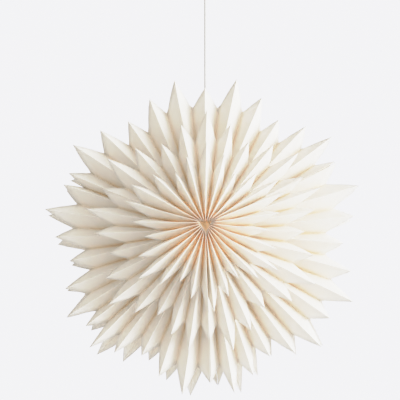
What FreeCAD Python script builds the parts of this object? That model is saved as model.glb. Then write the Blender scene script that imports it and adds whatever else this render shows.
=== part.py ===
import FreeCAD, Part
import math
import os

# Paper star lantern on a cord, hung from a ceiling cup. Millimetres, +Z up.
# The origin lies on the cord's line, in the face of the ceiling plate. The star is a flat
# disc that stands in the XZ plane, and the hub of its front points along -Y.
# Angles go clockwise from straight up, as the front of the star is seen.

# ---- sizes of the whole star ----
STAR_DROP = 545.0          # ceiling face down to the star's centre
MODULE_SPAN = 120.0        # the star is three fans of this angle, glued edge to edge
PAPER = 0.3                # card stock of the pleats
TIP_STEP = 22.0            # a ridge is this much shorter than the taller ridge beside it
NOTCH_DROP = 32.0          # a notch lies this far below the shorter of the points beside it
SHOULDER_SHARE = 0.8       # the cut from point to notch bends here, measured from crest to fold
SHOULDER_DROP = 0.75       # and has then come this share of the way down
FAN_SEAMS_FRONT = (-68.4, 61.3, 177.9)     # where the glued seams hang: left, right and lower
FAN_SEAMS_BACK = (-68.4, 61.3, 175.4)      # the back half has slipped a little at its lower seam
SEAM_GAP = 0.3             # glue line between two fans
SEAT_GAP = 0.3             # clearance where one piece rests on another
LAYER_GAP = 2.0            # air between the crests of one layer and the folds of the next

# ---- the three layers of points, outermost first ----
OUTER_REACH = 301.0
OUTER_SIDE_RIDGES = 6      # ridges each side of the fan's middle one
OUTER_SAG = (2.3, 5.4, -1.9)         # how far the middle of the top, right and left fan has sunk
OUTER_CROWD = (4.9, 0.7, -4.2)       # how far the arms of each fan crowd away from its middle
OUTER_CREST_ROOT = 36.0    # crest in front of the star's middle plane, at the drum
OUTER_CREST_TIP = 27.0     # and at the points
# glue line to the ridge before it and to the ridge after it, at the left, right and lower seam
OUTER_LEAN = ((2.2, 2.2), (0.15, 0.15), (0.15, 0.15))
OUTER_STATIONS = (85.0, 115.0, 160.0)      # radii where each facet is divided along its length

MIDDLE_REACH = 226.0
MIDDLE_SIDE_RIDGES = 5
MIDDLE_SAG = (3.9, -2.8, -2.9)
MIDDLE_CROWD = (1.7, 8.0, 2.6)
MIDDLE_PLEAT_ROOT = 32.0   # fold to crest, front to back, at the drum
MIDDLE_PLEAT_TIP = 23.0    # and at the points
MIDDLE_LEAN = ((0.25, 0.25), (0.25, 0.25), (0.25, 0.25))
MIDDLE_STATIONS = (90.0,)

INNER_REACH = 157.0
INNER_SIDE_RIDGES = 4
INNER_SAG = (2.2, 2.3, -1.7)
INNER_CROWD = (0.0, 0.0, 0.0)
INNER_PLEAT_HUB = 46.0
INNER_PLEAT_TIP = 28.0
INNER_LEAN = ((4.3, 7.0), (4.0, 4.0), (4.0, 0.4))
INNER_STATIONS = (11.0, 18.0, 30.0, 47.0)
HUB_SIDE = 24.0            # side of the triangle that the stacked pleat ends leave open
HUB_TURN = -1.0            # the triangle's turn on the hub, degrees

# ---- the outer arms low on the left are pressed together at the front ----
PINCH_ANGLE = 236.0        # where they are closest
PINCH_PULL = 0.26          # the share of its distance from there that an arm has moved
PINCH_SPREAD = 20.0        # degrees either way over which this fades

# ---- card drum that the arms stand on ----
DRUM_RADIUS = 66.0
DRUM_WALL = 0.8
DRUM_OVERHANG = 1.0        # past the crests of the middle layer
DRUM_HOLE_RADIUS = 3.0

# ---- cord ----
CORD_RADIUS = 2.0
CORD_HOLE_CLEARANCE = 0.1
CORD_INTO_CAP = 12.0
CORD_INTO_STEM = 22.0

# ---- lampholder and lamp ----
HOLDER_RADIUS = 14.0
HOLDER_WALL = 1.8
CAP_HEIGHT = 24.0
BODY_HEIGHT = 32.0
SPIGOT_HEIGHT = 5.0
HOLDER_FIT = 0.15
GRIP_RADIUS = 6.0
GRIP_HEIGHT = 9.0
GRIP_STEM_RADIUS = 4.3
GRIP_STEM_HEIGHT = 7.0
BLOCK_HEIGHT = 8.0
SHELL_RADIUS = 7.4
SHELL_WALL = 0.4
SHELL_HEIGHT = 18.0
CONTACT_WIDTH = 4.0
CONTACT_THICKNESS = 0.5
TERMINAL_SCREW_RADIUS = 1.5
TERMINAL_SCREW_HEIGHT = 5.0
TERMINAL_SCREW_SPACING = 11.0
LAMP_CAP_RADIUS = 6.8
LAMP_CAP_LENGTH = 22.0
LAMP_TIP_RADIUS = 2.4
LAMP_TIP_LENGTH = 2.0
LAMP_GLOBE_RADIUS = 22.5
LAMP_LENGTH = 77.0

# ---- ceiling fitting ----
CUP_RADIUS = 40.0
CUP_HEIGHT = 28.0
CUP_WALL = 1.2
CUP_EDGE_RADIUS = 8.0
PLATE_LENGTH = 62.0
PLATE_WIDTH = 16.0
PLATE_THICKNESS = 1.5
PLATE_HOLE_RADIUS = 2.2
PLATE_HOLE_SPACING = 46.0
STEM_RADIUS = 5.0
STEM_BELOW_CUP = 5.0
STEM_BORE_RADIUS = 3.2
NUT_RADIUS = 8.0
NUT_HEIGHT = 4.0
CUP_GRIP_RADIUS = 7.0
CUP_GRIP_TIP_RADIUS = 4.0
CUP_GRIP_HEIGHT = 12.0
STRIP_SIZE = (12.0, 20.0, 10.0)
STRIP_OFFSET = 22.0
STRIP_HANGER_RADIUS = 1.5

FRONT = -1
BACK = 1
CENTRE_Z = -STAR_DROP
FAN_NAMES = ("top", "right", "left")
SEAT_LINE = 0.5 * SEAT_GAP


def steps_down(number):
    """Steps below the longest ridge: 0, 1, 2, 1 and again, from a longest ridge at 0."""
    return 2 - abs(number % 4 - 2)


def pinch(angle):
    """The angle of a fold after the pressing has drawn it in."""
    off = (angle - PINCH_ANGLE + 180.0) % 360.0 - 180.0
    return angle - PINCH_PULL * off * math.exp(-(off / PINCH_SPREAD) ** 2)


class Layer:
    """One layer of pleats: its ridges, where they start and end, and how far they stand."""

    def __init__(self, name, side_ridges, phase, reach, root, sag, crowd, lean, crest, fold, stations):
        self.name = name
        self.stations = stations
        self.side_ridges = side_ridges
        self.phase = phase
        self.reach = reach
        self.root = root
        self.sag = sag
        self.crowd = crowd
        self.lean = lean
        self.crest = crest
        self.fold = fold

    def along(self, ends, radius):
        """A stand that changes evenly from the root to the longest point."""
        share = (radius - self.root) / (self.reach - self.root)
        return ends[0] + (ends[1] - ends[0]) * share

    def tip(self, ridge):
        return self.reach - TIP_STEP * steps_down(abs(ridge) + self.phase)

    def angles(self, fan, side):
        """Angles of a fan's folds, edge to edge: fold, ridge, fold and so on."""
        half = 0.5 * MODULE_SPAN
        first = -half + self.lean[fan][1]
        last = half - self.lean[(fan + 1) % len(self.lean)][0]
        pitch = (last - first) / (2 * self.side_ridges)
        ridges = [first + n * pitch for n in range(2 * self.side_ridges + 1)]
        line = [-half]
        for before, after in zip(ridges, ridges[1:]):
            line += [before, 0.5 * (before + after)]
        line += [ridges[-1], half]
        if self.name == "outer" and side == FRONT:
            line = [pinch(fan * MODULE_SPAN + a) - fan * MODULE_SPAN for a in line]
        seams = FAN_SEAMS_FRONT if side == FRONT else FAN_SEAMS_BACK
        low = seams[fan]
        high = (seams + (seams[0] + 360.0,))[fan + 1]
        hung = []
        for a in line:
            share = a / half
            moved = (self.sag[fan] + self.crowd[fan] * share) * (1.0 - share ** 2)
            hung.append(0.5 * (low + high) + 0.5 * (high - low) * share + moved)
        return hung


def polar(angle, radius):
    a = math.radians(angle)
    return FreeCAD.Vector(radius * math.sin(a), 0, radius * math.cos(a))


def across(angle):
    """Unit vector square to a radius, towards greater angles."""
    a = math.radians(angle)
    return FreeCAD.Vector(math.cos(a), 0, -math.sin(a))


def root_point(layer, fan, angles, i):
    """Inner end of fold i: on the drum, or for the inner layer on a side of the hub triangle."""
    if layer.name != "inner":
        return polar(angles[i], layer.root), across(angles[i])
    middle = fan * MODULE_SPAN + HUB_TURN
    side_distance = HUB_SIDE / (2.0 * math.sqrt(3.0))
    along_side = HUB_SIDE * (i / (len(angles) - 1) - 0.5)
    return polar(middle, side_distance) + across(middle) * along_side, across(middle)


def mitre(before, after, depth, is_ridge):
    """Offset from the outer face to the inner face of the paper at a fold.

    before and after are the widths of the two facets that meet there, or None at an edge.
    Returns the part across the arm and the part towards the star's middle plane."""
    lean = 1.0 if is_ridge else -1.0
    normals = []
    if before:
        slope = math.hypot(before, depth)
        normals.append((lean * depth / slope, before / slope))
    if after:
        slope = math.hypot(after, depth)
        normals.append((-lean * depth / slope, after / slope))
    if len(normals) == 1:
        return PAPER * normals[0][0], PAPER * normals[0][1]
    (ax, ay), (bx, by) = normals
    share = PAPER / (1.0 + ax * bx + ay * by)
    return share * (ax + bx), share * (ay + by)


def pleated_fan(layer, fan, side):
    """One fan of one layer: a single pleated sheet, crests outwards, closed as a solid."""
    angles = layer.angles(fan, side)
    last = len(angles) - 1

    def widths(i, radius, at_hub):
        if at_hub:
            step = HUB_SIDE / last
            return (step if i > 0 else None), (step if i < last else None)
        before = radius * math.radians(angles[i] - angles[i - 1]) if i > 0 else None
        after = radius * math.radians(angles[i + 1] - angles[i]) if i < last else None
        return before, after

    def vertex(i, radius, place, tangent, at_hub=False):
        """Outer and inner corner of the paper where fold i has this radius."""
        is_ridge = i % 2 == 1
        crest = layer.along(layer.crest, radius)
        fold = layer.along(layer.fold, radius)
        before, after = widths(i, radius, at_hub)
        shift, inward = mitre(before, after, crest - fold, is_ridge)
        stand = crest if is_ridge else fold + inward
        if i == 0:
            place = place + tangent * (0.5 * SEAM_GAP)
        if i == last:
            place = place - tangent * (0.5 * SEAM_GAP)
        centre = FreeCAD.Vector(0, 0, CENTRE_Z)
        outer = centre + place + FreeCAD.Vector(0, side * stand, 0)
        inner = centre + place + tangent * shift + FreeCAD.Vector(0, side * (stand - inward), 0)
        return outer, inner

    def on_fold(i, radius):
        """Corner on fold i, on the straight line from its root out to the longest reach."""
        root, tangent = root_point(layer, fan, angles, i)
        end = polar(angles[i], layer.reach)
        share = (radius - layer.root) / (layer.reach - layer.root)
        return vertex(i, radius, root + (end - root) * share, across(angles[i]))

    def at_root(i):
        root, tangent = root_point(layer, fan, angles, i)
        return vertex(i, layer.root, root, tangent, layer.name == "inner")

    def ridge_tip(i):
        return layer.tip((i - 1) // 2 - layer.side_ridges)

    def shoulder(i, j, radius):
        """Where the cut from a point down to the notch on fold j bends."""
        crest = on_fold(i, radius)
        fold = on_fold(j, radius)
        return tuple(c + (f - c) * SHOULDER_SHARE for c, f in zip(crest, fold))

    triangles = []
    for i in range(1, last, 2):
        tip = ridge_tip(i)
        for j in (i - 1, i + 1):
            beyond = j + (j - i)
            shorter = min(tip, ridge_tip(beyond)) if 0 < beyond < last else tip
            crest = at_root(i)
            fold = at_root(j)
            outlines = []
            for radius in layer.stations:
                next_crest = on_fold(i, radius)
                next_fold = on_fold(j, radius)
                outlines.append([crest, next_crest, next_fold, fold])
                crest = next_crest
                fold = next_fold
            notch = shorter - NOTCH_DROP
            bend = tip - SHOULDER_DROP * (tip - notch)
            outlines.append([crest, on_fold(i, tip), shoulder(i, j, bend), on_fold(j, notch), fold])
            for corners in outlines:
                for a, b in zip(corners[1:], corners[2:]):
                    triangles.append((corners[0], a, b) if j > i else (corners[0], b, a))
    return closed_sheet(triangles)


def closed_sheet(triangles):
    """Solid between the outer and inner corners of a list of triangles."""
    def key(corner):
        return tuple(round(c, 5) for c in corner[0])

    edges = {}
    for tri in triangles:
        for a, b in zip(tri, tri[1:] + tri[:1]):
            edges[(key(a), key(b))] = (a, b)
    faces = []
    for tri in triangles:
        faces.append([c[0] for c in tri])
        faces.append([c[1] for c in reversed(tri)])
    for (start, end), (a, b) in edges.items():
        if (end, start) not in edges:
            faces.append([b[0], a[0], a[1]])
            faces.append([b[0], a[1], b[1]])
    shell = Part.Shell([Part.Face(Part.makePolygon(f + [f[0]])) for f in faces])
    solid = Part.Solid(shell)
    if solid.Volume < 0:
        solid.reverse()
    return solid


def pipe(outer_radius, inner_radius, low, high, x=0.0, y=0.0):
    """Round tube standing on +Z between two heights; inner_radius 0 makes a rod."""
    base = FreeCAD.Vector(x, y, low)
    body = Part.makeCylinder(outer_radius, high - low, base)
    if inner_radius:
        body = body.cut(Part.makeCylinder(inner_radius, high - low, base))
    return body


def turned(profile):
    """Solid turned about the Z axis from (radius, height) corners."""
    points = [FreeCAD.Vector(r, 0, z) for r, z in profile]
    wire = Part.makePolygon(points + [points[0]])
    return Part.Face(wire).revolve(FreeCAD.Vector(0, 0, 0), FreeCAD.Vector(0, 0, 1), 360)


os.makedirs("parts", exist_ok=True)


def write(name, shape):
    """Check a piece and write it under its node name."""
    if not shape.isValid():
        print("not valid:", name)
    print(name, "solids", len(shape.Solids), "volume", round(shape.Volume, 1))
    shape.exportStep("parts/" + name + ".step")


# ---- pleated paper ----
arm_root = DRUM_RADIUS + SEAT_GAP
middle_fold = max(OUTER_CREST_ROOT, OUTER_CREST_TIP) + LAYER_GAP
middle_crest = (middle_fold + MIDDLE_PLEAT_ROOT, middle_fold + MIDDLE_PLEAT_TIP)
drum_half = max(middle_crest) + DRUM_OVERHANG
inner_fold = drum_half + SEAT_GAP
hub_root = HUB_SIDE / (2.0 * math.sqrt(3.0))

layers = (
    Layer("outer", OUTER_SIDE_RIDGES, 3, OUTER_REACH, arm_root, OUTER_SAG, OUTER_CROWD, OUTER_LEAN,
          (OUTER_CREST_ROOT, OUTER_CREST_TIP), (SEAT_LINE, SEAT_LINE), OUTER_STATIONS),
    Layer("middle", MIDDLE_SIDE_RIDGES, 0, MIDDLE_REACH, arm_root, MIDDLE_SAG, MIDDLE_CROWD, MIDDLE_LEAN,
          middle_crest, (middle_fold, middle_fold), MIDDLE_STATIONS),
    Layer("inner", INNER_SIDE_RIDGES, 0, INNER_REACH, hub_root, INNER_SAG, INNER_CROWD, INNER_LEAN,
          (inner_fold + INNER_PLEAT_HUB, inner_fold + INNER_PLEAT_TIP), (inner_fold, inner_fold),
          INNER_STATIONS),
)
for layer in layers:
    for side, side_name in ((FRONT, "front"), (BACK, "back")):
        for fan, fan_name in enumerate(FAN_NAMES):
            write("%s_pleats_%s_%s" % (layer.name, side_name, fan_name), pleated_fan(layer, fan, side))

# ---- card drum inside the star: the arms are glued round it, and it hangs on the lampholder ----
drum_axis = FreeCAD.Vector(0, 1, 0)
drum_start = FreeCAD.Vector(0, -drum_half, CENTRE_Z)
drum = Part.makeCylinder(DRUM_RADIUS, 2 * drum_half, drum_start, drum_axis)
drum = drum.cut(Part.makeCylinder(DRUM_RADIUS - DRUM_WALL, 2 * drum_half, drum_start, drum_axis))
drum = drum.cut(pipe(DRUM_HOLE_RADIUS, 0, CENTRE_Z, CENTRE_Z + DRUM_RADIUS + 1.0))
write("drum", drum)

# ---- lampholder, top to bottom ----
inside_drum = DRUM_RADIUS - DRUM_WALL
grip_top = CENTRE_Z + math.sqrt(inside_drum ** 2 - GRIP_RADIUS ** 2) - SEAT_GAP
cap_top = grip_top - GRIP_HEIGHT
cap_bottom = cap_top - CAP_HEIGHT
body_bottom = cap_bottom - BODY_HEIGHT
cord_hole = CORD_RADIUS + CORD_HOLE_CLEARANCE

grip = pipe(GRIP_RADIUS, 0, cap_top, grip_top)
grip = grip.fuse(pipe(GRIP_STEM_RADIUS, 0, cap_top - GRIP_STEM_HEIGHT, cap_top))
grip = grip.cut(pipe(cord_hole, 0, cap_top - GRIP_STEM_HEIGHT, grip_top)).removeSplitter()
write("cord_grip", grip)

cap_inside = HOLDER_RADIUS - HOLDER_WALL
cap_shoulder = 5.0
cap = turned([
    (GRIP_STEM_RADIUS + HOLDER_FIT, cap_top),
    (HOLDER_RADIUS - cap_shoulder, cap_top),
    (HOLDER_RADIUS, cap_top - cap_shoulder),
    (HOLDER_RADIUS, cap_bottom),
    (cap_inside, cap_bottom),
    (cap_inside, cap_top - cap_shoulder - HOLDER_WALL),
    (cap_inside - cap_shoulder, cap_top - HOLDER_WALL),
    (GRIP_STEM_RADIUS + HOLDER_FIT, cap_top - HOLDER_WALL),
])
write("lampholder_cap", cap)

spigot_radius = cap_inside - HOLDER_FIT
spigot_inside = spigot_radius - HOLDER_WALL
body = pipe(HOLDER_RADIUS, spigot_inside, body_bottom, cap_bottom)
body = body.fuse(pipe(spigot_radius, spigot_inside, cap_bottom, cap_bottom + SPIGOT_HEIGHT))
write("lampholder_body", body.removeSplitter())

block_top = cap_bottom + SPIGOT_HEIGHT
block_bottom = block_top - BLOCK_HEIGHT
block_radius = spigot_inside - HOLDER_FIT
write("contact_block", pipe(block_radius, 0, block_bottom, block_top))

screw_spots = (-0.5 * TERMINAL_SCREW_SPACING, 0.5 * TERMINAL_SCREW_SPACING)
screw_top = block_top + TERMINAL_SCREW_HEIGHT
screws = [pipe(TERMINAL_SCREW_RADIUS, 0, block_top, screw_top, x) for x in screw_spots]
write("terminal_screws", Part.makeCompound(screws))

shell_top = block_bottom
shell_bottom = shell_top - SHELL_HEIGHT
write("screw_shell", pipe(SHELL_RADIUS, SHELL_RADIUS - SHELL_WALL, shell_bottom, shell_top))

lamp_top = block_bottom - CONTACT_THICKNESS
contact_corner = FreeCAD.Vector(-CONTACT_WIDTH, -0.5 * CONTACT_WIDTH, lamp_top)
contact = Part.makeBox(2 * CONTACT_WIDTH, CONTACT_WIDTH, CONTACT_THICKNESS, contact_corner)
write("centre_contact", contact)

lamp_shoulder = lamp_top - LAMP_TIP_LENGTH
neck_top = lamp_shoulder - LAMP_CAP_LENGTH
globe_centre = lamp_top - LAMP_LENGTH + LAMP_GLOBE_RADIUS
lamp = pipe(LAMP_TIP_RADIUS, 0, lamp_shoulder, lamp_top)
lamp = lamp.fuse(pipe(LAMP_CAP_RADIUS, 0, neck_top, lamp_shoulder))
lamp = lamp.fuse(Part.makeSphere(LAMP_GLOBE_RADIUS, FreeCAD.Vector(0, 0, globe_centre)))
neck_meets = 0.75 * LAMP_GLOBE_RADIUS
neck_bottom = globe_centre + math.sqrt(LAMP_GLOBE_RADIUS ** 2 - neck_meets ** 2)
neck_start = FreeCAD.Vector(0, 0, neck_bottom)
neck = Part.makeCone(neck_meets, LAMP_CAP_RADIUS, neck_top - neck_bottom, neck_start)
write("lamp", lamp.fuse(neck).removeSplitter())

# ---- cord: one straight length, drawn tight by the star's weight ----
stem_bottom = -CUP_HEIGHT - STEM_BELOW_CUP
cord_top = stem_bottom + CORD_INTO_STEM
cord_bottom = cap_top - CORD_INTO_CAP
cord = pipe(CORD_RADIUS, 0, cord_bottom, cord_top)
write("cord", cord)
print("cord length", round(cord_top - cord_bottom, 1), "straight, volume over section times length",
      round(cord.Volume / (math.pi * CORD_RADIUS ** 2 * (cord_top - cord_bottom)), 4))

# ---- ceiling fitting ----
plate = Part.makeBox(PLATE_LENGTH, PLATE_WIDTH, PLATE_THICKNESS,
                     FreeCAD.Vector(-0.5 * PLATE_LENGTH, -0.5 * PLATE_WIDTH, -PLATE_THICKNESS))
for x in (-0.5 * PLATE_HOLE_SPACING, 0.5 * PLATE_HOLE_SPACING):
    plate = plate.cut(pipe(PLATE_HOLE_RADIUS, 0, -PLATE_THICKNESS, 0, x))
write("ceiling_plate", plate)

stem = pipe(STEM_RADIUS, STEM_BORE_RADIUS, stem_bottom, -PLATE_THICKNESS)
write("threaded_stem", stem)

cup_outside = Part.makeCylinder(CUP_RADIUS, CUP_HEIGHT, FreeCAD.Vector(0, 0, -CUP_HEIGHT))
low_edge = [e for e in cup_outside.Edges if abs(e.BoundBox.ZMax + CUP_HEIGHT) < 1e-6]
cup_outside = cup_outside.makeFillet(CUP_EDGE_RADIUS, low_edge)
cup_inside = Part.makeCylinder(CUP_RADIUS - CUP_WALL, CUP_HEIGHT - CUP_WALL,
                               FreeCAD.Vector(0, 0, -CUP_HEIGHT + CUP_WALL))
low_edge = [e for e in cup_inside.Edges if abs(e.BoundBox.ZMax + CUP_HEIGHT - CUP_WALL) < 1e-6]
cup_inside = cup_inside.makeFillet(CUP_EDGE_RADIUS - CUP_WALL, low_edge)
stem_hole = pipe(STEM_RADIUS + HOLDER_FIT, 0, -CUP_HEIGHT, 0)
write("ceiling_cup", cup_outside.cut(cup_inside).cut(stem_hole))

nut_low = -CUP_HEIGHT + CUP_WALL
corners = [polar(a, NUT_RADIUS) for a in range(30, 390, 60)]
corners = [FreeCAD.Vector(c.x, c.z, nut_low) for c in corners]
nut = Part.Face(Part.makePolygon(corners + [corners[0]])).extrude(FreeCAD.Vector(0, 0, NUT_HEIGHT))
write("cup_nut", nut.cut(pipe(STEM_RADIUS + HOLDER_FIT, 0, nut_low, nut_low + NUT_HEIGHT)))

grip_low = -CUP_HEIGHT - CUP_GRIP_HEIGHT
write("cup_grip", turned([
    (STEM_RADIUS + HOLDER_FIT, -CUP_HEIGHT),
    (CUP_GRIP_RADIUS, -CUP_HEIGHT),
    (CUP_GRIP_TIP_RADIUS, grip_low),
    (cord_hole, grip_low),
    (cord_hole, stem_bottom),
    (STEM_RADIUS + HOLDER_FIT, stem_bottom),
]))

strip_low = -CUP_HEIGHT + CUP_WALL + NUT_HEIGHT
strip = Part.makeBox(STRIP_SIZE[0], STRIP_SIZE[1], STRIP_SIZE[2],
                     FreeCAD.Vector(STRIP_OFFSET - 0.5 * STRIP_SIZE[0], -0.5 * STRIP_SIZE[1], strip_low))
write("terminal_strip", strip)
strip_top = strip_low + STRIP_SIZE[2]
write("strip_screw", pipe(STRIP_HANGER_RADIUS, 0, strip_top, -PLATE_THICKNESS, STRIP_OFFSET))
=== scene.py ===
import math
import random
import bpy
import bmesh
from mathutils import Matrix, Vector


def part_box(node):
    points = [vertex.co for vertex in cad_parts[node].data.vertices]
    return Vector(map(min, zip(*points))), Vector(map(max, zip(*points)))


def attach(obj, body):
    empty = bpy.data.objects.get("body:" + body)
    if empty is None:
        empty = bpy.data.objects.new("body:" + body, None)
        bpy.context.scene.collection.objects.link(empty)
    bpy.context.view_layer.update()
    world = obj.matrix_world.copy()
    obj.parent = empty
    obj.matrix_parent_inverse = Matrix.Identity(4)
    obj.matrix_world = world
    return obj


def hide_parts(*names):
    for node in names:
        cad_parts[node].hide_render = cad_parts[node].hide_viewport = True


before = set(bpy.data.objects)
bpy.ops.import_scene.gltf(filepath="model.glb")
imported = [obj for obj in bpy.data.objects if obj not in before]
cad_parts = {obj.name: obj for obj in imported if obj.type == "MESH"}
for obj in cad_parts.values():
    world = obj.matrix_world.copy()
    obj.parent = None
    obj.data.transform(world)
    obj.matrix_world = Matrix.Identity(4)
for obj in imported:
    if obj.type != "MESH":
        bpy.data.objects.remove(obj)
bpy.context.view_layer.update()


# ---- The view ----
# The star hangs above the eye: the camera stands nearly three metres off, half a metre
# below its centre, and looks up at it. The brightest tones are rolled off softly.
EYE = Vector((-0.010, -2.774, -0.472))      # from the star's centre
LOOK_UP = 11.0                              # degrees
BRIGHTEST = 2.0                             # this many times full white ends the roll-off
ROLL_OFF = ((0.25, 0.505), (0.39, 0.775), (0.54, 0.89))
ROLL_END = (1.0, 0.93)
PLEAT_BOUNCES = 40
MOST_BOUNCES = 48

drum_low, drum_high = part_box("drum")
star_centre = (drum_low + drum_high) / 2

scene = bpy.context.scene
camera_data = bpy.data.cameras.new("camera")
camera_data.sensor_width = 36.0
camera_data.lens = 135.0
camera = bpy.data.objects.new("camera", camera_data)
camera.location = star_centre + EYE
camera.rotation_euler = (math.radians(90.0 + LOOK_UP), 0.0, 0.0)
scene.collection.objects.link(camera)
scene.camera = camera

scene.view_settings.view_transform = "Standard"
scene.view_settings.use_curve_mapping = True
tones = scene.view_settings.curve_mapping
tones.white_level = (BRIGHTEST, BRIGHTEST, BRIGHTEST)
highlights = tones.curves[3]
for shown in ROLL_OFF:
    highlights.points.new(*shown)
highlights.points[-1].location = ROLL_END
tones.update()

# Deep pleats of pale card pass light from face to face many times over.
scene.cycles.max_bounces = MOST_BOUNCES
scene.cycles.diffuse_bounces = PLEAT_BOUNCES
scene.cycles.transmission_bounces = PLEAT_BOUNCES


# ---- Cord ----
# A round two-core lamp flex in white plastic. It is held in the lampholder's cap and in the
# stem of the ceiling fitting, and the weight of the star draws it straight.
CORD_DIAMETER = 0.004

cord_low, cord_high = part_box("cord")
cord_data = bpy.data.curves.new("cord_line", "CURVE")
cord_data.dimensions = "3D"
# The points carry the cord's radius, so that its box is no wider than the cord.
cord_data.bevel_depth = 1.0
cord_data.bevel_resolution = 5
cord_data.use_fill_caps = True
cord_spline = cord_data.splines.new("NURBS")
cord_heights = (cord_low.z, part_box("cord_grip")[1].z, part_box("cup_grip")[0].z, cord_high.z)
cord_spline.points.add(len(cord_heights) - 1)
for point, height in zip(cord_spline.points, cord_heights):
    point.co = (0.0, 0.0, height, 1.0)
    point.radius = CORD_DIAMETER / 2
cord_spline.order_u = 3
cord_spline.use_endpoint_u = True
cord = bpy.data.objects.new("cord_flex", cord_data)
scene.collection.objects.link(cord)
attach(cord, "root")
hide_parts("cord")


def new_material(name, colour, roughness):
    """A material with its Principled shader, and the node tree to add to."""
    made = bpy.data.materials.new(name)
    made.use_nodes = True
    tree = made.node_tree
    shader = tree.nodes["Principled BSDF"]
    shader.inputs["Base Color"].default_value = (*colour, 1.0)
    shader.inputs["Roughness"].default_value = roughness
    return made, tree, shader


def add_node(tree, kind, **settings):
    """A node of that kind, with its own settings and the values of its named inputs."""
    node = tree.nodes.new(kind)
    for key, value in settings.items():
        if hasattr(node, key):
            setattr(node, key, value)
        else:
            node.inputs[key.replace("_", " ")].default_value = value
    return node


def ranged(tree, value, start, end, low=0.0, high=1.0):
    """A value between start and end, brought to one between low and high."""
    node = add_node(tree, "ShaderNodeMapRange", From_Min=start, From_Max=end, To_Min=low, To_Max=high)
    tree.links.new(value, node.inputs["Value"])
    return node.outputs["Result"]


def new_group(name, inputs, outputs):
    """An empty shader node group with those sockets: (name, kind, value)."""
    group = bpy.data.node_groups.new(name, "ShaderNodeTree")
    for socket, kind, value in inputs:
        made = group.interface.new_socket(socket, in_out="INPUT", socket_type=kind)
        made.default_value = value
    for socket, kind in outputs:
        group.interface.new_socket(socket, in_out="OUTPUT", socket_type=kind)
    return group, group.nodes.new("NodeGroupInput"), group.nodes.new("NodeGroupOutput")


# Fine skin of moulded plastic: a shallow pebble, and a colour that drifts a little.
skin, skin_in, skin_out = new_group(
    "moulded_skin",
    [("Colour", "NodeSocketColor", (0.8, 0.8, 0.8, 1.0)), ("Pebble Scale", "NodeSocketFloat", 900.0),
     ("Pebble Height", "NodeSocketFloat", 0.1)],
    [("Colour", "NodeSocketColor"), ("Roughness Mask", "NodeSocketFloat"), ("Normal", "NodeSocketVector")])
place = add_node(skin, "ShaderNodeTexCoord")
pebble = add_node(skin, "ShaderNodeTexNoise", Detail=3.0)
drift = add_node(skin, "ShaderNodeTexNoise", Scale=22.0, Detail=2.0)
tinted = add_node(skin, "ShaderNodeVectorMath", operation="SCALE")
bump = add_node(skin, "ShaderNodeBump", Distance=0.0001)
skin.links.new(place.outputs["Object"], pebble.inputs["Vector"])
skin.links.new(place.outputs["Object"], drift.inputs["Vector"])
skin.links.new(skin_in.outputs["Pebble Scale"], pebble.inputs["Scale"])
skin.links.new(skin_in.outputs["Colour"], tinted.inputs[0])
skin.links.new(ranged(skin, drift.outputs["Fac"], 0.0, 1.0, 0.93, 1.03), tinted.inputs["Scale"])
skin.links.new(tinted.outputs["Vector"], skin_out.inputs["Colour"])
skin.links.new(pebble.outputs["Fac"], skin_out.inputs["Roughness Mask"])
skin.links.new(pebble.outputs["Fac"], bump.inputs["Height"])
skin.links.new(skin_in.outputs["Pebble Height"], bump.inputs["Strength"])
skin.links.new(bump.outputs["Normal"], skin_out.inputs["Normal"])


def give_surface(tree, shader, group, rough):
    """The shader takes its colour, roughness and fine relief from that surface group."""
    tree.links.new(group.outputs["Colour"], shader.inputs["Base Color"])
    between = ranged(tree, group.outputs["Roughness Mask"], 0.0, 1.0, *rough)
    tree.links.new(between, shader.inputs["Roughness"])
    tree.links.new(group.outputs["Normal"], shader.inputs["Normal"])


def skinned(name, colour, rough, pebble):
    """A moulded or glazed material with that fine skin: its lowest and highest roughness,
    and the scale and height of its pebble."""
    made, tree, shader = new_material(name, colour, rough[0])
    group = add_node(tree, "ShaderNodeGroup", node_tree=skin)
    group.inputs["Colour"].default_value = (*colour, 1.0)
    group.inputs["Pebble Scale"].default_value = pebble[0]
    group.inputs["Pebble Height"].default_value = pebble[1]
    give_surface(tree, shader, group, rough)
    return made


cord_white = skinned("cord_white", (0.70, 0.70, 0.69), rough=(0.38, 0.5), pebble=(1500.0, 0.05))
cord_data.materials.append(cord_white)


# ---- Outer layer of points ----
# Six fans of ivory card stock, each one sheet that is pleated edge to edge and cut to points.
# Three make the front and three the back. Front and back meet at their folds, so every
# arm is a tube of four facets, open at its end. The inner ends are glued round the drum.
PAPER = 0.0003
SEAM_GAP = 0.00004
DRUM_SEAT = 0.0004
FAN_NAMES = ("top", "right", "left")
FAN_SPREAD = 120.0
HALF_FAN = FAN_SPREAD / 2
FAN_SEAMS_FRONT = (-68.4, 61.3, 177.9)      # degrees clockwise from the top
FAN_SEAMS_BACK = (-68.4, 61.3, 175.4)
PRESSED_AT = 236.0                  # arms pressed together: at what angle, how widely, how much
PRESSED_SPREAD = 20.0
PRESSED_BY = 0.26

# The cut edge: points step up and down along a fan, and each cut bends at a shoulder,
# where the facet bends a little too.
TIP_STEP = 0.022
NOTCH_DROP = 0.032
SHOULDER = 0.8                      # share of the way from ridge to fold
SHOULDER_DROP = 0.85                # of the cut's drop, reached there
SHOULDER_DEPTH = 0.77               # of the facet's depth, reached there

# Hand folding: how far each fold, ridge, facet and tip strays.
FOLD_WANDER = 0.16                  # degrees
RIDGE_LIFT = 0.0011
FACET_BOW = 0.00025
BOW_END = 1.1                       # the bow runs out before the tips
TIP_HOOK = 0.0016
HOOK_POWER = 6                      # only the last of a ridge is hooked
TIP_TRIM = 0.0009

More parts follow.
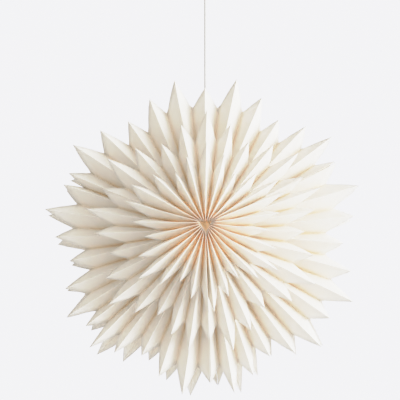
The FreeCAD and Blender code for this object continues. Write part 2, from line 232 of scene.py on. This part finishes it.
# The sheet's grid, with close columns at the rounded folds and at the shoulder.
ROWS = 12
ROUNDED = 0.02
FOLD_RADIUS = 0.00055
FACET_SHARES = (0.0, 0.01, ROUNDED, 0.04, 0.3, 0.55, 0.785, SHOULDER, 0.815, 0.96,
                1.0 - ROUNDED, 0.99)

# Where a layer runs in to the hub, its folds come up towards the ridges, and its ends stand
# against the sides of a triangle that is turned a little against the fans.
HUB_RISE = 0.024
HUB_RISE_POWER = 1.5
HUB_TURN = -1.0

arm_root = (drum_high.x - drum_low.x) / 2 + DRUM_SEAT


def steps_down(number):
    """Steps below the longest ridge: 0, 1, 2, 1 and again, from a longest ridge at 0."""
    return 2 - abs(number % 4 - 2)


def pinch(angle):
    """The arms low on the left are pressed together at the front."""
    off = (angle - PRESSED_AT + 180.0) % 360.0 - 180.0
    return angle - PRESSED_BY * off * math.exp(-(off / PRESSED_SPREAD) ** 2)


def radial(angle):
    """Straight out from the star's centre, in degrees clockwise from the top."""
    a = math.radians(angle)
    return Vector((math.sin(a), 0.0, math.cos(a)))


def across(angle):
    """Square to that, clockwise."""
    a = math.radians(angle)
    return Vector((math.cos(a), 0.0, -math.sin(a)))


def fold_angles(fan, seams, side_ridges, sag, crowd, lean, pressed):
    """Angles of a fan's folds, edge to edge: fold, ridge, fold and so on."""
    first = -HALF_FAN + lean[fan][1]
    last = HALF_FAN - lean[(fan + 1) % 3][0]
    ridges = [first + (last - first) * n / (2 * side_ridges) for n in range(2 * side_ridges + 1)]
    line = [-HALF_FAN]
    for before, after in zip(ridges, ridges[1:]):
        line += [before, 0.5 * (before + after)]
    line += [ridges[-1], HALF_FAN]
    if pressed:
        line = [pinch(fan * FAN_SPREAD + a) - fan * FAN_SPREAD for a in line]
    low, high = (seams + (seams[0] + 360.0,))[fan:fan + 2]
    middle, half = 0.5 * (low + high), 0.5 * (high - low)
    return [middle + half * a / HALF_FAN
            + (sag[fan] + crowd[fan] * a / HALF_FAN) * (1.0 - (a / HALF_FAN) ** 2) for a in line]


def new_piece(name, bm, material, node):
    """The finished mesh as a piece that stands for that node."""
    mesh = bpy.data.meshes.new(name)
    for face in bm.faces:
        face.smooth = True
    bm.to_mesh(mesh)
    bm.free()
    mesh.materials.append(material)
    piece = bpy.data.objects.new(name, mesh)
    scene.collection.objects.link(piece)
    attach(piece, "root")
    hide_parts(node)
    return piece


def give_thickness(sheet, thickness):
    """Card has its thickness inside the drawn face."""
    thick = sheet.modifiers.new("thickness", "SOLIDIFY")
    thick.thickness = thickness
    thick.offset = -1.0


def hub_edge(hub_side):
    """How far each side of the open triangle at the hub is from the star's centre."""
    return hub_side / (2.0 * math.sqrt(3.0))


def pleated_fan(name, node, fan, side, angles, tips, root, reach, crest, fold, hub_side, seed):
    """One pleated sheet. A flat grid is folded up: its columns follow the folds and facets,
    its rows run from the root out to the cut ends. Fold 0 is a seam, and odd ones are ridges."""
    draw = random.Random(seed)
    last = len(angles) - 1
    wander = [0.0] + [draw.gauss(0.0, FOLD_WANDER) for _ in angles[1:-1]] + [0.0]
    lift = [draw.gauss(0.0, RIDGE_LIFT) for _ in angles]
    bow = [draw.gauss(0.0, FACET_BOW) for _ in angles]
    hook = [draw.gauss(0.0, TIP_HOOK) for _ in angles]
    trim = [draw.gauss(0.0, TIP_TRIM) for _ in angles]
    steps = len(FACET_SHARES)
    bm = bmesh.new()
    bmesh.ops.create_grid(bm, x_segments=last * steps, y_segments=ROWS, size=0.5)
    uv_layer = bm.loops.layers.uv.new("UVMap")

    def fold_point(i, radius):
        """Fold i at this radius, before the facets are softened."""
        share = (radius - root) / (reach - root)
        tip = max(0.0, share)
        angle = angles[i] + wander[i] * tip
        if hub_side:
            middle = fan * FAN_SPREAD + HUB_TURN
            start = radial(middle) * hub_edge(hub_side)
            start += across(middle) * hub_side * (i / last - 0.5)
            spot = start.lerp(radial(angle) * reach, share)
        else:
            spot = radial(angle) * radius
        if i == 0:
            spot += across(angle) * SEAM_GAP / 2
        if i == last:
            spot -= across(angle) * SEAM_GAP / 2
        ends = crest if i % 2 else fold
        stand = ends[0] + (ends[1] - ends[0]) * share
        if hub_side and i % 2 == 0:
            stand += HUB_RISE * max(0.0, 1.0 - radius / arm_root) ** HUB_RISE_POWER
        if i % 2:
            stand += lift[i] * tip
            spot += across(angle) * hook[i] * tip ** HOOK_POWER
        return spot + Vector((0.0, side * stand, 0.0))

    def tip_of(i):
        """Length of ridge i, as trimmed."""
        return tips[(i - 1) // 2] + trim[i]

    def facet_point(top, low, share):
        """Across a facet: round over the ridge, down to the shoulder, steeply into the fold."""
        level = Vector((low.x - top.x, 0.0, low.z - top.z))
        full = Vector((level.length, side * (top.y - low.y)))
        kink = Vector((full.x * SHOULDER, full.y * SHOULDER_DEPTH))

        def rounded(run, part):
            """Along the rounding towards that run, for the first part of the facet."""
            turn = math.atan2(run.y, run.x) * min(1.0, part / ROUNDED)
            return Vector((math.sin(turn), 1.0 - math.cos(turn))) * FOLD_RADIUS

        if share <= SHOULDER:
            over = rounded(kink, share)
            over = over.lerp(kink, max(0.0, share - ROUNDED) / (SHOULDER - ROUNDED))
        else:
            over = full - rounded(full - kink, 1.0 - share)
            over = over.lerp(kink, max(0.0, 1.0 - ROUNDED - share) / (1.0 - ROUNDED - SHOULDER))
        return top + level.normalized() * over.x - Vector((0.0, side * over.y, 0.0))

    places = {}
    for vert in bm.verts:
        column = round((vert.co.x + 0.5) * last * steps)
        row = vert.co.y + 0.5
        facet = min(column // steps, last - 1)
        step = column - facet * steps
        rising = facet % 2 == 0
        if step == steps:
            share = 0.0 if rising else 1.0
        elif rising:
            share = 1.0 - FACET_SHARES[step] if step == 0 else FACET_SHARES[steps - step]
        else:
            share = FACET_SHARES[step]
        ridge, valley = (facet + 1, facet) if rising else (facet, facet + 1)
        beyond = 2 * valley - ridge
        tip = tip_of(ridge)
        shorter = min(tip, tip_of(beyond)) if 0 < beyond < last else tip    # the notch is shared
        drop = tip - shorter + NOTCH_DROP
        if share <= SHOULDER:
            end = tip - drop * SHOULDER_DROP * share / SHOULDER
        else:
            end = tip - drop * (1.0 - (1.0 - SHOULDER_DROP) * (1.0 - share) / (1.0 - SHOULDER))
        radius = root + (end - root) * row
        top, low = fold_point(ridge, radius), fold_point(valley, radius)
        spot = facet_point(top, low, share)
        outward = (low - top).cross(radial(angles[ridge]))
        if outward.y * side < 0.0:
            outward.negate()
        along = math.sin(math.pi * min(1.0, row * BOW_END))
        bulge = math.sin(math.pi * share) * bow[ridge] * along
        spot += outward.normalized() * bulge
        places[vert] = (spot + star_centre, (share, radius / reach))
    for face in bm.faces:
        for loop in face.loops:
            loop[uv_layer].uv = places[loop.vert][1]
    for vert in bm.verts:
        vert.co = places[vert][0]
    if side > 0:
        bmesh.ops.reverse_faces(bm, faces=bm.faces)
    sheet = new_piece(name, bm, ivory_paper, node)
    give_thickness(sheet, PAPER)


# Card stock close up: a tooth of matted fibres, faint clouds of denser pulp and a few specks.
tooth, tooth_in, tooth_out = new_group(
    "paper_tooth",
    [("Fibre Scale", "NodeSocketFloat", 1400.0), ("Cloud Scale", "NodeSocketFloat", 60.0)],
    [("Height", "NodeSocketFloat"), ("Cloud", "NodeSocketFloat"), ("Speck", "NodeSocketFloat")])
place = add_node(tooth, "ShaderNodeTexCoord")
fibre = add_node(tooth, "ShaderNodeTexNoise", Detail=4.0, Roughness=0.6)
matted = add_node(tooth, "ShaderNodeTexNoise", Scale=320.0, Detail=3.0)
cloud = add_node(tooth, "ShaderNodeTexNoise", Detail=4.0, Roughness=0.55)
speck = add_node(tooth, "ShaderNodeTexVoronoi", Scale=420.0)
height = add_node(tooth, "ShaderNodeMath", operation="ADD")
for texture in (fibre, matted, cloud, speck):
    tooth.links.new(place.outputs["Object"], texture.inputs["Vector"])
tooth.links.new(tooth_in.outputs["Fibre Scale"], fibre.inputs["Scale"])
tooth.links.new(tooth_in.outputs["Cloud Scale"], cloud.inputs["Scale"])
tooth.links.new(fibre.outputs["Fac"], height.inputs[0])
tooth.links.new(matted.outputs["Fac"], height.inputs[1])
tooth.links.new(height.outputs["Value"], tooth_out.inputs["Height"])
tooth.links.new(cloud.outputs["Fac"], tooth_out.inputs["Cloud"])
tooth.links.new(ranged(tooth, speck.outputs["Distance"], 0.06, 0.12, 1.0, 0.0), tooth_out.inputs["Speck"])


def mixed_colour(tree, fac, first, second):
    """A colour between two, each a colour or a socket, by a socket."""
    mix = add_node(tree, "ShaderNodeMix", data_type="RGBA")
    tree.links.new(fac, mix.inputs["Factor"])
    ends = [socket for socket in mix.inputs if socket.type == "RGBA"]
    for socket, colour in zip(ends, (first, second)):
        if isinstance(colour, tuple):
            socket.default_value = (*colour, 1.0)
        else:
            tree.links.new(colour, socket)
    return [socket for socket in mix.outputs if socket.type == "RGBA"][0]


def finish_card(tree, shader, grain, colour, tooth_strength, tooth_height, shine):
    """Card of that colour, with its tooth, and a share of the light shining through it."""
    bump = add_node(tree, "ShaderNodeBump", Strength=tooth_strength, Distance=tooth_height)
    tree.links.new(grain.outputs["Height"], bump.inputs["Height"])
    tree.links.new(bump.outputs["Normal"], shader.inputs["Normal"])
    tree.links.new(colour, shader.inputs["Base Color"])
    shine_through = add_node(tree, "ShaderNodeBsdfTranslucent")
    tree.links.new(colour, shine_through.inputs["Color"])
    both = add_node(tree, "ShaderNodeMixShader")
    both.inputs["Fac"].default_value = shine
    tree.links.new(shader.outputs["BSDF"], both.inputs[1])
    tree.links.new(shine_through.outputs["BSDF"], both.inputs[2])
    tree.links.new(both.outputs["Shader"], tree.nodes["Material Output"].inputs["Surface"])


PAPER_IVORY = (0.973, 0.967, 0.950)
# Painted warm shade for the folds; the random pulp clouds take this colour too.
PAPER_SHADE_AND_CLOUD = (0.955, 0.89, 0.79)
# Painted highlight for the ridges.
PAPER_RIDGE_HIGHLIGHT = (0.98, 0.97, 0.95)
# Painted warm shade for the paper at the hub.
PAPER_HUB_SHADE = (0.97, 0.87, 0.74)
PAPER_SPECK = (0.60, 0.52, 0.42)
SPECK_SHARE = 0.12

# Painted shade makes the paper warmer in the folds and at the hub; a painted highlight pales the ridges.
# The sheet's own map runs from ridge to fold in X and from the hub to the tips in Y.
ivory_paper, tree, shader = new_material("ivory_paper", PAPER_IVORY, 0.8)
shader.inputs["Specular IOR Level"].default_value = 0.25
grain = add_node(tree, "ShaderNodeGroup", node_tree=tooth)
on_sheet = add_node(tree, "ShaderNodeUVMap", uv_map="UVMap")
split = add_node(tree, "ShaderNodeSeparateXYZ")
tree.links.new(on_sheet.outputs["UV"], split.inputs["Vector"])
# Painted shade: the folds are painted warmer, most towards the hub, where light bounces in the pleats.
valley = ranged(tree, split.outputs["X"], 0.7, 0.92)
inward = ranged(tree, split.outputs["Y"], 0.5, 0.9, 1.0, 0.15)
valley_shade = add_node(tree, "ShaderNodeMath", operation="MULTIPLY")
tree.links.new(valley, valley_shade.inputs[0])
tree.links.new(inward, valley_shade.inputs[1])
# Painted shade: the paper near the hub is painted a warm tan.
hub_shade = ranged(tree, split.outputs["Y"], 0.04, 0.25, 0.7, 0.0)
clouded = ranged(tree, grain.outputs["Cloud"], 0.3, 0.7, 0.0, 0.15)
# Painted highlight: a pale line is painted along each ridge.
ridge_highlight = ranged(tree, split.outputs["X"], 0.0, 0.035, 0.8, 0.0)
specked = add_node(tree, "ShaderNodeMath", operation="MULTIPLY")
specked.inputs[1].default_value = SPECK_SHARE
tree.links.new(grain.outputs["Speck"], specked.inputs[0])
colour = mixed_colour(tree, valley_shade.outputs["Value"], PAPER_IVORY, PAPER_SHADE_AND_CLOUD)
colour = mixed_colour(tree, hub_shade, colour, PAPER_HUB_SHADE)
colour = mixed_colour(tree, clouded, colour, PAPER_SHADE_AND_CLOUD)
colour = mixed_colour(tree, ridge_highlight, colour, PAPER_RIDGE_HIGHLIGHT)
colour = mixed_colour(tree, specked.outputs["Value"], colour, PAPER_SPECK)
finish_card(tree, shader, grain, colour, 0.25, 0.00015, 0.3)


def pleated_layer(layer, side_ridges, phase, reach, root, sag, crowd, lean, crest, fold, hub_side=0.0):
    """All six fans of a layer, front and back. A fan has side_ridges ridges on each side of
    its middle one, and phase shifts the steps of their tips. Sag and crowd move the folds of
    each fan, and lean its outermost ridges, in degrees. Crest and fold are distances from the
    middle plane, at the root and at the tips."""
    tips = [reach - TIP_STEP * steps_down(abs(n) + phase) for n in range(-side_ridges, side_ridges + 1)]
    for side, side_name, seams in ((-1, "front", FAN_SEAMS_FRONT), (1, "back", FAN_SEAMS_BACK)):
        for fan, fan_name in enumerate(FAN_NAMES):
            node = "%s_pleats_%s_%s" % (layer, side_name, fan_name)
            pressed = layer == "outer" and side_name == "front"
            angles = fold_angles(fan, seams, side_ridges, sag, crowd, lean, pressed)
            pleated_fan("%s_fan_%s_%s" % (layer, side_name, fan_name), node, fan, side, angles, tips,
                        root, reach, crest, fold, hub_side, seed=len(node) * 7 + fan * 3 + side)


pleated_layer("outer", side_ridges=6, phase=3, reach=0.301, root=arm_root,
              sag=(2.3, 5.4, -1.9), crowd=(4.9, 0.7, -4.2),
              lean=((2.2, 2.2), (0.15, 0.15), (0.15, 0.15)),
              crest=(0.036, 0.027), fold=(0.0004, 0.0004))


# ---- Middle layer of points ----
# Shallower pleats of the same card, glued round the drum in front of and behind the outer
# arms. Their points lie over the outer ridges and end three quarters of the way out.
MIDDLE_FOLD = 0.038
MIDDLE_DEEP = (0.032, 0.023)        # fold to ridge, at the drum and at the tips

pleated_layer("middle", side_ridges=5, phase=0, reach=0.226, root=arm_root,
              sag=(3.9, -2.8, -2.9), crowd=(1.7, 8.0, 2.6), lean=((0.25, 0.25),) * 3,
              crest=(MIDDLE_FOLD + MIDDLE_DEEP[0], MIDDLE_FOLD + MIDDLE_DEEP[1]),
              fold=(MIDDLE_FOLD, MIDDLE_FOLD))


# ---- Inner layer of points ----
# The face of the star. The pleats run in to the hub, where their ends stand stacked against
# the three sides of a small open triangle. Their folds rest on the rims of the drum.
HUB_SIDE = 0.024
RIM_GAP = 0.0003
INNER_FOLD = (drum_high.y - drum_low.y) / 2 + RIM_GAP
INNER_DEEP = (0.046, 0.028)         # fold to ridge, at the hub and at the tips

pleated_layer("inner", side_ridges=4, phase=0, reach=0.157, root=hub_edge(HUB_SIDE),
              sag=(2.2, 2.3, -1.7), crowd=(0.0, 0.0, 0.0),
              lean=((4.3, 7.0), (4.0, 4.0), (4.0, 0.4)),
              crest=(INNER_FOLD + INNER_DEEP[0], INNER_FOLD + INNER_DEEP[1]),
              fold=(INNER_FOLD, INNER_FOLD), hub_side=HUB_SIDE)


# ---- Drum ----
# A strip of stiff ivory card, bent to a ring and glued where its ends overlap underneath.
# The arms are glued round it, and the cord runs in through a punched hole in its top.
DRUM_WALL = 0.0008
DRUM_HOLE = 0.003
DRUM_LAP = 14.0                     # degrees of overlap
DRUM_STEP = 8.0                     # degrees over which the strip steps in under it

ivory_card, tree, shader = new_material("ivory_card", (0.86, 0.82, 0.75), 0.75)
grain = add_node(tree, "ShaderNodeGroup", node_tree=tooth)
grain.inputs["Fibre Scale"].default_value = 900.0
clouded = ranged(tree, grain.outputs["Cloud"], 0.3, 0.7)
colour = mixed_colour(tree, clouded, (0.87, 0.83, 0.76), (0.83, 0.77, 0.68))
finish_card(tree, shader, grain, colour, 0.3, 0.0002, 0.25)

drum_radius = (drum_high.x - drum_low.x) / 2
drum_width = drum_high.y - drum_low.y
bm = bmesh.new()
bmesh.ops.create_grid(bm, x_segments=192, y_segments=8, size=0.5)
for vert in bm.verts:
    turn = 180.0 + (vert.co.x + 0.5) * (360.0 + DRUM_LAP)
    under = min(1.0, max(0.0, (180.0 + DRUM_LAP + DRUM_STEP - turn) / DRUM_STEP))
    out = radial(turn) * (drum_radius - DRUM_WALL * under)
    vert.co = star_centre + out + Vector((0.0, vert.co.y * drum_width, 0.0))
bmesh.ops.reverse_faces(bm, faces=bm.faces)
drum = new_piece("drum_strip", bm, ivory_card, "drum")
give_thickness(drum, DRUM_WALL)

# The hole is punched with a round tool, which is then taken away.
bm = bmesh.new()
bmesh.ops.create_cone(bm, cap_ends=True, segments=32, radius1=DRUM_HOLE, radius2=DRUM_HOLE, depth=0.01)
bmesh.ops.translate(bm, verts=bm.verts, vec=star_centre + Vector((0.0, 0.0, drum_radius)))
punch_mesh = bpy.data.meshes.new("punch")
bm.to_mesh(punch_mesh)
bm.free()
punch = bpy.data.objects.new("punch", punch_mesh)
scene.collection.objects.link(punch)
hole = drum.modifiers.new("hole", "BOOLEAN")
hole.object = punch
hole.operation = "DIFFERENCE"
bpy.context.view_layer.update()
punched = bpy.data.meshes.new_from_object(drum.evaluated_get(bpy.context.evaluated_depsgraph_get()))
drum.modifiers.clear()
drum.data = punched
bpy.data.objects.remove(punch)


# ---- Lampholder ----
# A small white thermoplastic holder: grip nut, cap, body and spigot. Inside it a glazed
# contact block carries a screw shell, a sprung brass contact and two terminal screws.
white_plastic = skinned("white_plastic", (0.80, 0.80, 0.78), rough=(0.30, 0.42), pebble=(900.0, 0.10))
glazed_white = skinned("glazed_white", (0.78, 0.77, 0.74), rough=(0.12, 0.22), pebble=(420.0, 0.05))

# Plated or bare metal: fine drawn streaks, and a tarnish that gathers in soft patches.
drawn, drawn_in, drawn_out = new_group(
    "drawn_metal",
    [("Colour", "NodeSocketColor", (0.7, 0.7, 0.7, 1.0)),
     ("Tarnish", "NodeSocketColor", (0.5, 0.5, 0.5, 1.0)),
     ("Streak Height", "NodeSocketFloat", 0.1)],
    [("Colour", "NodeSocketColor"), ("Roughness Mask", "NodeSocketFloat"), ("Normal", "NodeSocketVector")])
place = add_node(drawn, "ShaderNodeTexCoord")
stretch = add_node(drawn, "ShaderNodeMapping")
stretch.inputs["Scale"].default_value = (1.0, 1.0, 14.0)
streak = add_node(drawn, "ShaderNodeTexNoise", Scale=260.0, Detail=3.0)
patch = add_node(drawn, "ShaderNodeTexNoise", Scale=90.0, Detail=4.0)
bump = add_node(drawn, "ShaderNodeBump", Distance=0.00008)
drawn.links.new(place.outputs["Object"], stretch.inputs["Vector"])
drawn.links.new(stretch.outputs["Vector"], streak.inputs["Vector"])
drawn.links.new(place.outputs["Object"], patch.inputs["Vector"])
patched = ranged(drawn, patch.outputs["Fac"], 0.45, 0.75, 0.0, 0.6)
mixed = mixed_colour(drawn, patched, drawn_in.outputs["Colour"], drawn_in.outputs["Tarnish"])
drawn.links.new(mixed, drawn_out.inputs["Colour"])
drawn.links.new(streak.outputs["Fac"], drawn_out.inputs["Roughness Mask"])
drawn.links.new(streak.outputs["Fac"], bump.inputs["Height"])
drawn.links.new(drawn_in.outputs["Streak Height"], bump.inputs["Strength"])
drawn.links.new(bump.outputs["Normal"], drawn_out.inputs["Normal"])


def drawn_metal(name, colour, tarnish, rough):
    """A metal of one colour with that drawn and tarnished surface."""
    made, tree, shader = new_material(name, colour, rough[0])
    shader.inputs["Metallic"].default_value = 1.0
    group = add_node(tree, "ShaderNodeGroup", node_tree=drawn)
    group.inputs["Colour"].default_value = (*colour, 1.0)
    group.inputs["Tarnish"].default_value = (*tarnish, 1.0)
    give_surface(tree, shader, group, rough)
    return made


zinc_plate = drawn_metal("zinc_plate", (0.66, 0.67, 0.68), tarnish=(0.50, 0.50, 0.48),
                         rough=(0.28, 0.48))
spring_brass = drawn_metal("spring_brass", (0.80, 0.60, 0.28), tarnish=(0.52, 0.36, 0.17),
                           rough=(0.22, 0.42))


def finish_node(name, material):
    """A CAD node that stays gets its material in every slot."""
    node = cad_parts[name]
    for material_slot in node.material_slots:
        material_slot.material = material
    if not node.material_slots:
        node.data.materials.append(material)


for name in ("cord_grip", "lampholder_cap", "lampholder_body"):
    finish_node(name, white_plastic)
finish_node("contact_block", glazed_white)
finish_node("screw_shell", zinc_plate)
finish_node("terminal_screws", zinc_plate)
finish_node("centre_contact", spring_brass)


# ---- Lamp ----
# A round opal lamp with a small screw cap, dimmed low: a faint warm light fills the drum.
# Blown glass, cemented into a rolled and plated cap with a soldered tip.
GLOBE_GLOW = (1.0, 0.6, 0.34)
GLOBE_STRENGTH = 0.3
GLOW_COLOUR = (1.0, 0.72, 0.46)     # the light that leaves the globe, from just outside it
GLOW_POWER = 0.09
GLOW_CLEAR = 0.003
GLOBE_END = 135                     # degrees up from its lowest point, where the neck begins
CAP_RADIUS = 0.0068
CAP_LENGTH = 0.022
TIP_LENGTH = 0.002
NECK_IN_CAP = 0.002                 # how far the glass runs into the cap
NECK_CLEAR = 0.0005
THREAD_PITCH = 0.00282
THREAD_DEPTH = 0.0007
THREAD_ROWS = 48
THREAD_FADE = 0.001


def turned(profile, steps):
    """A shell turned about the cord's line from (radius, height) corners."""
    bm = bmesh.new()
    corners = [bm.verts.new((radius, 0.0, height)) for radius, height in profile]
    line = [bm.edges.new(pair) for pair in zip(corners, corners[1:])]
    bmesh.ops.spin(bm, geom=corners + line, cent=(0.0, 0.0, 0.0), axis=(0.0, 0.0, 1.0),
                   angle=2.0 * math.pi, steps=steps, use_merge=True)
    bmesh.ops.remove_doubles(bm, verts=bm.verts, dist=1e-6)
    bmesh.ops.recalc_face_normals(bm, faces=bm.faces)
    return bm


lamp_low, lamp_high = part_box("lamp")
globe_radius = (lamp_high.x - lamp_low.x) / 2
globe_centre = lamp_low.z + globe_radius
cap_high = lamp_high.z - TIP_LENGTH
cap_low = cap_high - CAP_LENGTH

opal_glass = skinned("opal_glass", (0.88, 0.86, 0.82), rough=(0.18, 0.26), pebble=(60.0, 0.02))
shader = opal_glass.node_tree.nodes["Principled BSDF"]
shader.inputs["Emission Color"].default_value = (*GLOBE_GLOW, 1.0)
shader.inputs["Emission Strength"].default_value = GLOBE_STRENGTH
globe_profile = []
for degrees in range(0, GLOBE_END + 1, 5):
    a = math.radians(degrees)
    globe_profile.append((globe_radius * math.sin(a), globe_centre - globe_radius * math.cos(a)))
neck_radius, neck_height = globe_profile[-1]
neck_narrows = CAP_RADIUS - NECK_CLEAR - neck_radius
neck_run = cap_low + NECK_IN_CAP - neck_height
for share in (0.15, 0.35, 0.6, 0.85, 1.0):
    ease = share * share * (3.0 - 2.0 * share)
    globe_profile.append((neck_radius + neck_narrows * (0.55 * ease + 0.45 * share),
                          neck_height + neck_run * share))
globe_profile.append((0.0, cap_low + NECK_IN_CAP))
new_piece("lamp_globe", turned(globe_profile, 64), opal_glass, "lamp")

glow_data = bpy.data.lights.new("lamp_glow", "POINT")
glow_data.shadow_soft_size = globe_radius + GLOW_CLEAR
glow_data.use_soft_falloff = False
glow_data.energy = GLOW_POWER
glow_data.color = GLOW_COLOUR
glow = bpy.data.objects.new("lamp_glow", glow_data)
glow.location = (0.0, 0.0, globe_centre)
glow.visible_camera = False
scene.collection.objects.link(glow)

# The cap, from its rolled lip and plain collar along the thread to the closed end.
thread_low, thread_high = cap_low + 0.006, cap_high - 0.003
cap_profile = [(CAP_RADIUS - 0.0008, cap_low), (CAP_RADIUS, cap_low + 0.0004),
               (CAP_RADIUS, cap_low + 0.0045)]
cap_profile += [(CAP_RADIUS - THREAD_DEPTH / 2,
                 thread_low + (thread_high - thread_low) * n / THREAD_ROWS)
                for n in range(THREAD_ROWS + 1)]
cap_profile += [(CAP_RADIUS - THREAD_DEPTH, cap_high - 0.0022),
                (CAP_RADIUS - 0.0016, cap_high - 0.0008), (0.0034, cap_high), (0.0, cap_high)]
bm = turned(cap_profile, 64)
for vert in bm.verts:
    if thread_low - 1e-6 <= vert.co.z <= thread_high + 1e-6:
        turn = math.atan2(vert.co.y, vert.co.x) / (2.0 * math.pi)
        fade = min(1.0, (vert.co.z - thread_low) / THREAD_FADE, (thread_high - vert.co.z) / THREAD_FADE)
        wave = math.sin(2.0 * math.pi * (vert.co.z / THREAD_PITCH - turn))
        grow = 1.0 + max(0.0, fade) * wave * THREAD_DEPTH / 2 / CAP_RADIUS
        vert.co.x *= grow
        vert.co.y *= grow
new_piece("lamp_cap", bm, zinc_plate, "lamp")
tip_profile = [(0.0024, cap_high - 0.0005), (0.0024, cap_high + 0.0008), (0.0018, cap_high + 0.0016),
               (0.0009, lamp_high.z), (0.0, lamp_high.z)]
new_piece("lamp_tip", turned(tip_profile, 32), zinc_plate, "lamp")


# ---- Ceiling fitting ----
# A plated steel plate and hollow threaded stem carry the weight. A moulded white cup hides
# them, held up by a nut inside it, and a grip nut under it holds the cord.
for name in ("ceiling_plate", "threaded_stem", "cup_nut", "strip_screw"):
    finish_node(name, zinc_plate)
for name in ("ceiling_cup", "cup_grip"):
    finish_node(name, white_plastic)
finish_node("terminal_strip", glazed_white)


# ---- Floor and light ----
# A pale room. Light falls from every side, most of it from the right, where one soft window
# stands a little in front of the star. The wall behind is one even pale grey.
FLOOR_BELOW = 1.3
FLOOR_HALF = 20.0
WALL = (1.12, 1.12, 1.2)
ROOM_LEFT = (0.65, 0.615, 0.55)
ROOM_RIGHT = (1.95, 1.98, 2.02)
WINDOW_AT = Vector((2.6, -1.35, 0.1))
WINDOW_SIZE = 1.0
WINDOW_POWER = 40.0
WINDOW_COLOUR = (0.98, 0.99, 1.0)

pale, tree, shader = new_material("pale_floor", (0.80, 0.80, 0.81), 0.9)
bm = bmesh.new()
bmesh.ops.create_grid(bm, x_segments=1, y_segments=1, size=FLOOR_HALF)
bmesh.ops.translate(bm, verts=bm.verts, vec=(0.0, 0.0, star_centre.z - FLOOR_BELOW))
mesh = bpy.data.meshes.new("floor")
bm.to_mesh(mesh)
bm.free()
mesh.materials.append(pale)
floor = bpy.data.objects.new("floor", mesh)
scene.collection.objects.link(floor)

world = bpy.data.worlds.new("room")
world.use_nodes = True
scene.world = world
tree = world.node_tree
wall = tree.nodes["Background"]
wall.inputs["Color"].default_value = (*WALL, 1.0)
towards = add_node(tree, "ShaderNodeTexCoord")
to_right = add_node(tree, "ShaderNodeSeparateXYZ")
room = add_node(tree, "ShaderNodeBackground")
seen = add_node(tree, "ShaderNodeLightPath")
parted = add_node(tree, "ShaderNodeMixShader")
tree.links.new(towards.outputs["Generated"], to_right.inputs["Vector"])
rightward = ranged(tree, to_right.outputs["X"], 0.0, 1.0)
tree.links.new(mixed_colour(tree, rightward, ROOM_LEFT, ROOM_RIGHT), room.inputs["Color"])
tree.links.new(seen.outputs["Is Camera Ray"], parted.inputs["Fac"])
tree.links.new(room.outputs["Background"], parted.inputs[1])
tree.links.new(wall.outputs["Background"], parted.inputs[2])
tree.links.new(parted.outputs["Shader"], tree.nodes["World Output"].inputs["Surface"])

window_data = bpy.data.lights.new("window", "AREA")
window_data.size = WINDOW_SIZE
window_data.energy = WINDOW_POWER
window_data.color = WINDOW_COLOUR
window = bpy.data.objects.new("window", window_data)
window.location = star_centre + WINDOW_AT
window.rotation_euler = (-WINDOW_AT).to_track_quat("-Z", "Y").to_euler()
window.visible_camera = False
scene.collection.objects.link(window)
